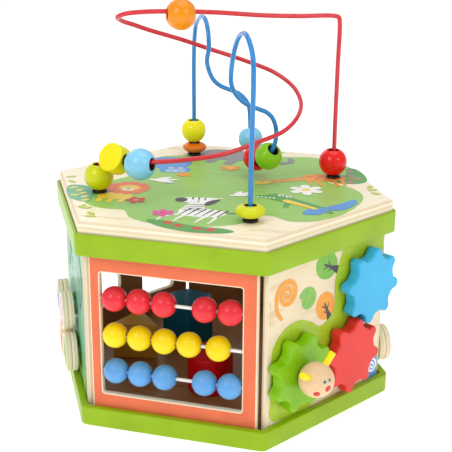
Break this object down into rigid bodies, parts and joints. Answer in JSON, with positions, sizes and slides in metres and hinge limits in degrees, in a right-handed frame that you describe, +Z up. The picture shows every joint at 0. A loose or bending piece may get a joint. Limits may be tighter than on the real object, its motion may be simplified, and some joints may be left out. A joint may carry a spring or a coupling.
{
  "type": "baby activity cube",
  "caption": "Six-sided wooden activity centre for babies: abacus window, meshing gears, spinning discs, shape holes and a bead maze on top.",
  "frame": {"origin": "centre of the underside of the case", "axes": "+Z up, towards the top of the bead maze; the abacus side faces -Y; +X towards the right seen from the abacus"},
  "size_m": [0.3511, 0.3026, 0.3765],
  "materials": {
    "plywood": "clear-lacquered birch plywood, striped cut edges",
    "beech": "turned beech, clear lacquer",
    "coral": "wood painted coral, satin",
    "lime": "bent wood painted lime, gloss",
    "teal": "plywood printed teal, satin",
    "white": "white rod, gloss",
    "red": "turned wood painted red, gloss lacquer",
    "yellow": "turned wood painted yellow, gloss lacquer",
    "blue": "turned wood painted blue, gloss lacquer",
    "red_gear": "wooden gear painted red, gloss",
    "blue_gear": "wooden gear painted sky blue, gloss",
    "green_gear": "wooden gear painted green, gloss",
    "orange": "turned wood painted orange, gloss lacquer",
    "deep_orange": "turned wood painted deep orange, gloss lacquer",
    "sky": "turned wood painted light blue, gloss lacquer",
    "lime_yellow": "turned wood painted yellow-green, gloss lacquer",
    "green": "turned wood painted green, gloss lacquer",
    "red_wire": "steel wire with red plastic coating, gloss",
    "blue_wire": "steel wire with blue plastic coating, gloss",
    "black": "black plastic ferrule, gloss",
    "deep_blue": "block painted dark blue, satin",
    "amber": "block painted ochre, satin"
  },
  "bodies": {
    "case": {"top_board": "plywood", "top_rim": "lime", "tray_ring": "lime", "base_board": "plywood", "abacus_panel": "coral", "gear_panel": "plywood", "slot_panel": "plywood", "back_panel": "plywood", "sorter_panel": "plywood", "disc_panel": "teal", "abacus_red_rod": "white", "abacus_yellow_rod": "white", "abacus_blue_rod": "white", "red_gear_pin": "beech", "blue_gear_pin": "beech", "green_gear_pin": "beech", "right_ferrule": "black", "back_ferrule": "black", "left_ferrule": "black", "front_ferrule": "black", "maze_red_wire": "red_wire", "maze_blue_wire": "blue_wire"},
    "red_bead_1": {"abacus_red_bead_1": "red"},
    "red_bead_2": {"abacus_red_bead_2": "red"},
    "red_bead_3": {"abacus_red_bead_3": "red"},
    "red_bead_4": {"abacus_red_bead_4": "red"},
    "red_bead_5": {"abacus_red_bead_5": "red"},
    "yellow_bead_1": {"abacus_yellow_bead_1": "yellow"},
    "yellow_bead_2": {"abacus_yellow_bead_2": "yellow"},
    "yellow_bead_3": {"abacus_yellow_bead_3": "yellow"},
    "yellow_bead_4": {"abacus_yellow_bead_4": "yellow"},
    "yellow_bead_5": {"abacus_yellow_bead_5": "yellow"},
    "blue_bead_1": {"abacus_blue_bead_1": "blue"},
    "blue_bead_2": {"abacus_blue_bead_2": "blue"},
    "blue_bead_3": {"abacus_blue_bead_3": "blue"},
    "blue_bead_4": {"abacus_blue_bead_4": "blue"},
    "blue_bead_5": {"abacus_blue_bead_5": "blue"},
    "red_gear": {"red_gear": "red_gear"},
    "blue_gear": {"blue_gear": "blue_gear"},
    "green_gear": {"green_gear": "green_gear", "animal_head": "beech"},
    "disc_a": {"loose_disc_a": "plywood"},
    "disc_b": {"loose_disc_b": "plywood"},
    "disc_c": {"loose_disc_c": "plywood"},
    "disc_d": {"loose_disc_d": "plywood"},
    "slot_knob": {"slot_knob": "plywood"},
    "red_post_bead": {"maze_red_bead": "red"},
    "orange_bead": {"maze_orange_bead": "orange"},
    "orange_disc": {"maze_orange_disc": "deep_orange"},
    "yellow_ball": {"maze_yellow_ball": "yellow"},
    "lime_ring": {"maze_lime_ring": "lime_yellow"},
    "sky_bead_left": {"maze_sky_bead_left": "sky"},
    "yellow_disc": {"maze_yellow_disc": "yellow"},
    "lemon_ball": {"maze_lemon_ball": "lime_yellow"},
    "sky_bead_dip": {"maze_sky_bead_dip": "sky"},
    "red_bead_dip": {"maze_red_bead_dip": "red"},
    "green_bead": {"maze_green_bead": "green"},
    "cylinder_block": {"block_cylinder": "red"},
    "hexagon_block": {"block_hexagon": "deep_blue"},
    "triangle_block": {"block_triangle": "amber"}
  },
  "joints": [
    {"name": "red_bead_1_slide", "type": "slide", "parent": "case", "child": "red_bead_1", "axis": [1, 0, 0], "range_m": [0, 0.014]},
    {"name": "red_bead_2_slide", "type": "slide", "parent": "case", "child": "red_bead_2", "axis": [1, 0, 0], "range_m": [0, 0.014]},
    {"name": "red_bead_3_slide", "type": "slide", "parent": "case", "child": "red_bead_3", "axis": [1, 0, 0], "range_m": [0, 0.014]},
    {"name": "red_bead_4_slide", "type": "slide", "parent": "case", "child": "red_bead_4", "axis": [1, 0, 0], "range_m": [-0.014, 0]},
    {"name": "red_bead_5_slide", "type": "slide", "parent": "case", "child": "red_bead_5", "axis": [1, 0, 0], "range_m": [-0.014, 0]},
    {"name": "yellow_bead_1_slide", "type": "slide", "parent": "case", "child": "yellow_bead_1", "axis": [1, 0, 0], "range_m": [0, 0.0035]},
    {"name": "yellow_bead_2_slide", "type": "slide", "parent": "case", "child": "yellow_bead_2", "axis": [1, 0, 0], "range_m": [0, 0.0035]},
    {"name": "yellow_bead_3_slide", "type": "slide", "parent": "case", "child": "yellow_bead_3", "axis": [1, 0, 0], "range_m": [0, 0.0035]},
    {"name": "yellow_bead_4_slide", "type": "slide", "parent": "case", "child": "yellow_bead_4", "axis": [1, 0, 0], "range_m": [0, 0.0035]},
    {"name": "yellow_bead_5_slide", "type": "slide", "parent": "case", "child": "yellow_bead_5", "axis": [1, 0, 0], "range_m": [-0.0035, 0.01]},
    {"name": "blue_bead_1_slide", "type": "slide", "parent": "case", "child": "blue_bead_1", "axis": [1, 0, 0], "range_m": [0, 0.0138]},
    {"name": "blue_bead_2_slide", "type": "slide", "parent": "case", "child": "blue_bead_2", "axis": [1, 0, 0], "range_m": [0, 0.0138]},
    {"name": "blue_bead_3_slide", "type": "slide", "parent": "case", "child": "blue_bead_3", "axis": [1, 0, 0], "range_m": [0, 0.0138]},
    {"name": "blue_bead_4_slide", "type": "slide", "parent": "case", "child": "blue_bead_4", "axis": [1, 0, 0], "range_m": [-0.0138, 0]},
    {"name": "blue_bead_5_slide", "type": "slide", "parent": "case", "child": "blue_bead_5", "axis": [1, 0, 0], "range_m": [-0.0138, 0]},
    {"name": "red_gear_spin", "type": "hinge", "parent": "case", "child": "red_gear", "pos_m": [0.1442, -0.05323, 0.0588], "axis": [0.866, -0.5, 0], "continuous": true},
    {"name": "blue_gear_spin", "type": "hinge", "parent": "case", "child": "blue_gear", "pos_m": [0.15611, -0.03261, 0.12249], "axis": [0.866, -0.5, 0], "continuous": true},
    {"name": "green_gear_spin", "type": "hinge", "parent": "case", "child": "green_gear", "pos_m": [0.10906, -0.1141, 0.06433], "axis": [0.866, -0.5, 0], "continuous": true},
    {"name": "disc_a_spin", "type": "hinge", "parent": "case", "child": "disc_a", "pos_m": [-0.1532, -0.03764, 0.0745], "axis": [-0.866, -0.5, 0], "continuous": true},
    {"name": "disc_b_spin", "type": "hinge", "parent": "case", "child": "disc_b", "pos_m": [-0.1332, -0.07229, 0.0765], "axis": [-0.866, -0.5, 0], "continuous": true},
    {"name": "disc_c_spin", "type": "hinge", "parent": "case", "child": "disc_c", "pos_m": [-0.12395, -0.08831, 0.041], "axis": [-0.866, -0.5, 0], "continuous": true},
    {"name": "disc_d_spin", "type": "hinge", "parent": "case", "child": "disc_d", "pos_m": [-0.1441, -0.05341, 0.0385], "axis": [-0.866, -0.5, 0], "continuous": true},
    {"name": "knob_slide", "type": "slide", "parent": "case", "child": "slot_knob", "axis": [-0.5, 0.866, 0], "range_m": [0, 0.116]},
    {"name": "red_post_bead_slide", "type": "slide", "parent": "case", "child": "red_post_bead", "axis": [0, 0, 1], "range_m": [0, 0.11]},
    {"name": "orange_bead_slide", "type": "slide", "parent": "case", "child": "orange_bead", "axis": [0.8772, 0.4801, 0], "range_m": [-0.01, 0.042]},
    {"name": "orange_disc_slide", "type": "slide", "parent": "case", "child": "orange_disc", "axis": [0, 0, 1], "range_m": [0, 0.055]},
    {"name": "yellow_ball_slide", "type": "slide", "parent": "orange_disc", "child": "yellow_ball", "axis": [0, 0, 1], "range_m": [0, 0.012]},
    {"name": "lime_ring_slide", "type": "slide", "parent": "case", "child": "lime_ring", "axis": [0, 0, 1], "range_m": [0, 0.095]},
    {"name": "sky_bead_left_slide", "type": "slide", "parent": "case", "child": "sky_bead_left", "axis": [0.9839, 0.16, 0.08], "range_m": [0, 0.008]},
    {"name": "yellow_disc_rock", "type": "hinge", "parent": "case", "child": "yellow_disc", "pos_m": [-0.0818, -0.0644, 0.2322], "axis": [-0.9452, 0.3213, -0.0573], "range_deg": [-8, 0]},
    {"name": "lemon_ball_spin", "type": "hinge", "parent": "case", "child": "lemon_ball", "pos_m": [-0.1014, -0.0584, 0.2125], "axis": [0.0599, -0.02, 0.998], "continuous": true},
    {"name": "sky_bead_dip_spin", "type": "hinge", "parent": "case", "child": "sky_bead_dip", "pos_m": [0.0164, 0.0547, 0.231], "axis": [0.1701, -0.2601, -0.9505], "continuous": true},
    {"name": "red_bead_dip_spin", "type": "hinge", "parent": "case", "child": "red_bead_dip", "pos_m": [0.027, 0.037, 0.2165], "axis": [0.6191, -0.7789, -0.0999], "continuous": true},
    {"name": "green_bead_spin", "type": "hinge", "parent": "case", "child": "green_bead", "pos_m": [0.0442, 0.0183, 0.2242], "axis": [0.5507, -0.4206, 0.721], "continuous": true},
    {"name": "cylinder_block_lift", "type": "slide", "parent": "case", "child": "cylinder_block", "axis": [0, 0, 1], "range_m": [0, 0.1]},
    {"name": "hexagon_block_lift", "type": "slide", "parent": "case", "child": "hexagon_block", "axis": [0, 0, 1], "range_m": [0, 0.1]},
    {"name": "triangle_block_lift", "type": "slide", "parent": "case", "child": "triangle_block", "axis": [0, 0, 1], "range_m": [0, 0.1]}
  ],
  "couplings": [
    {"joint": "red_bead_2_slide", "follows": "red_bead_1_slide", "ratio": 1},
    {"joint": "red_bead_3_slide", "follows": "red_bead_1_slide", "ratio": 1},
    {"joint": "red_bead_5_slide", "follows": "red_bead_4_slide", "ratio": 1},
    {"joint": "yellow_bead_2_slide", "follows": "yellow_bead_1_slide", "ratio": 1},
    {"joint": "yellow_bead_3_slide", "follows": "yellow_bead_1_slide", "ratio": 1},
    {"joint": "yellow_bead_4_slide", "follows": "yellow_bead_1_slide", "ratio": 1},
    {"joint": "blue_bead_2_slide", "follows": "blue_bead_1_slide", "ratio": 1},
    {"joint": "blue_bead_3_slide", "follows": "blue_bead_1_slide", "ratio": 1},
    {"joint": "blue_bead_5_slide", "follows": "blue_bead_4_slide", "ratio": 1},
    {"joint": "blue_gear_spin", "follows": "red_gear_spin", "ratio": -1},
    {"joint": "green_gear_spin", "follows": "red_gear_spin", "ratio": -1}
  ]
}
